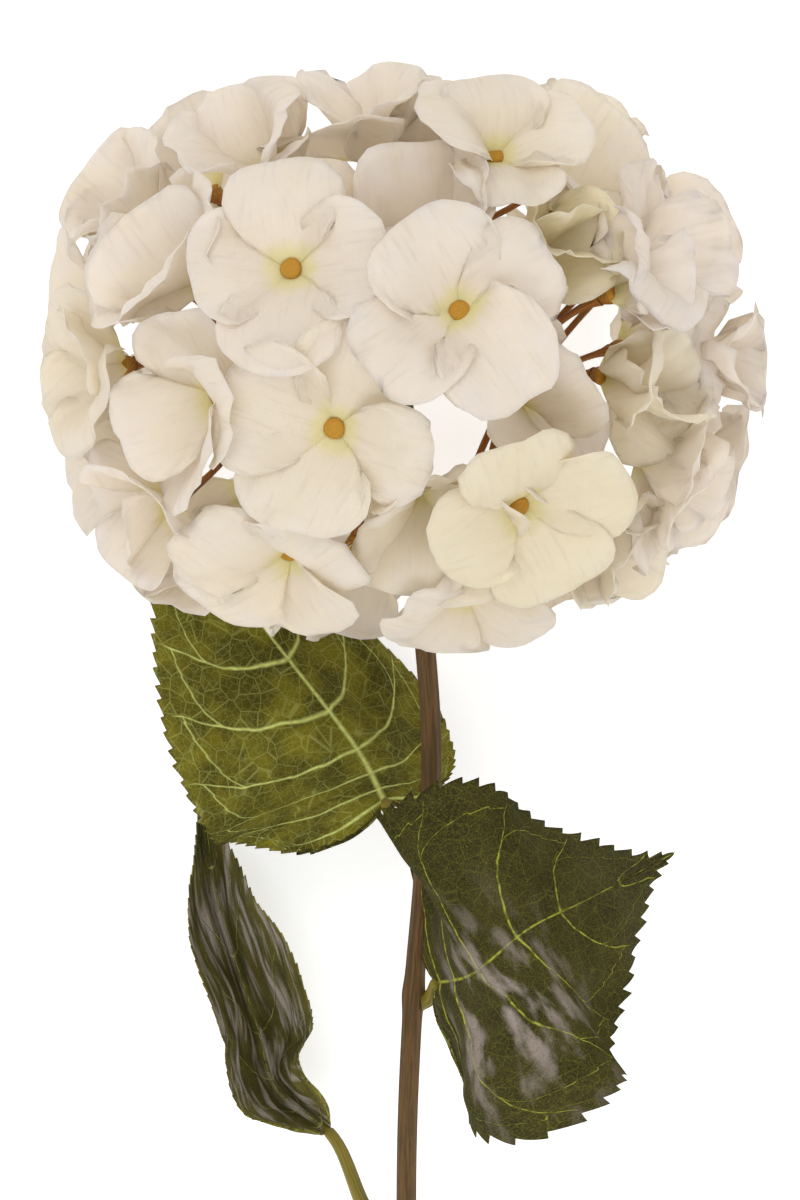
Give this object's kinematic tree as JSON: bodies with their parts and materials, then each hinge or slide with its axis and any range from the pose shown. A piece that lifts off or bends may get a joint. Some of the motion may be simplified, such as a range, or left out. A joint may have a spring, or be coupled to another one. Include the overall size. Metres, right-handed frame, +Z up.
{
  "type": "cut hydrangea",
  "caption": "A cut mop-head hydrangea lying on its back: a ball of creamy white four-petalled florets on a brown stem with toothed green leaves.",
  "frame": {"origin": "on the surface that the flower lies on, under the middle of its bounding box", "axes": "+Y along the stem towards the flower head; +Z up from the surface; +X to the right when the head is seen from above with the stem towards the viewer"},
  "size_m": [0.1832, 0.4592, 0.1593],
  "materials": {
    "petal": "matt woven silk, creamy white with a faint pink and yellow-green tinge",
    "leaf": "woven, dark green with pale veins and a satin sheen",
    "leaf_stalk": "satin olive yellow",
    "stem": "satin brown, finely ribbed",
    "pedicel": "satin ochre to red-brown"
  },
  "bodies": {
    "root": {"stem": "stem", "ray_1": "pedicel", "ray_2": "pedicel", "ray_3": "pedicel", "ray_4": "pedicel", "ray_5": "pedicel", "ray_6": "pedicel", "ray_7": "pedicel", "floret_01": "petal", "floret_02": "petal", "floret_03": "petal", "floret_04": "petal", "floret_05": "petal", "floret_06": "petal", "floret_07": "petal", "floret_08": "petal", "floret_09": "petal", "floret_10": "petal", "floret_11": "petal", "floret_12": "petal", "floret_13": "petal", "floret_14": "petal", "floret_15": "petal", "floret_16": "petal", "floret_17": "petal", "floret_18": "petal", "floret_19": "petal", "floret_20": "petal", "floret_21": "petal", "floret_22": "petal", "floret_23": "petal", "floret_24": "petal", "floret_25": "petal", "floret_26": "petal", "floret_27": "petal", "floret_28": "petal", "floret_29": "petal", "floret_30": "petal", "floret_31": "petal", "floret_32": "petal", "floret_33": "petal", "floret_34": "petal", "floret_35": "petal", "floret_36": "petal", "floret_37": "petal", "floret_38": "petal", "floret_39": "petal", "floret_40": "petal", "floret_41": "petal", "floret_42": "petal", "floret_43": "petal", "floret_44": "petal", "floret_45": "petal", "floret_46": "petal", "leaf_under_head": "leaf", "leaf_right": "leaf", "leaf_left": "leaf", "stalk_under_head": "leaf_stalk", "stalk_right": "leaf_stalk", "stalk_left": "leaf_stalk"}
  },
  "joints": []
}
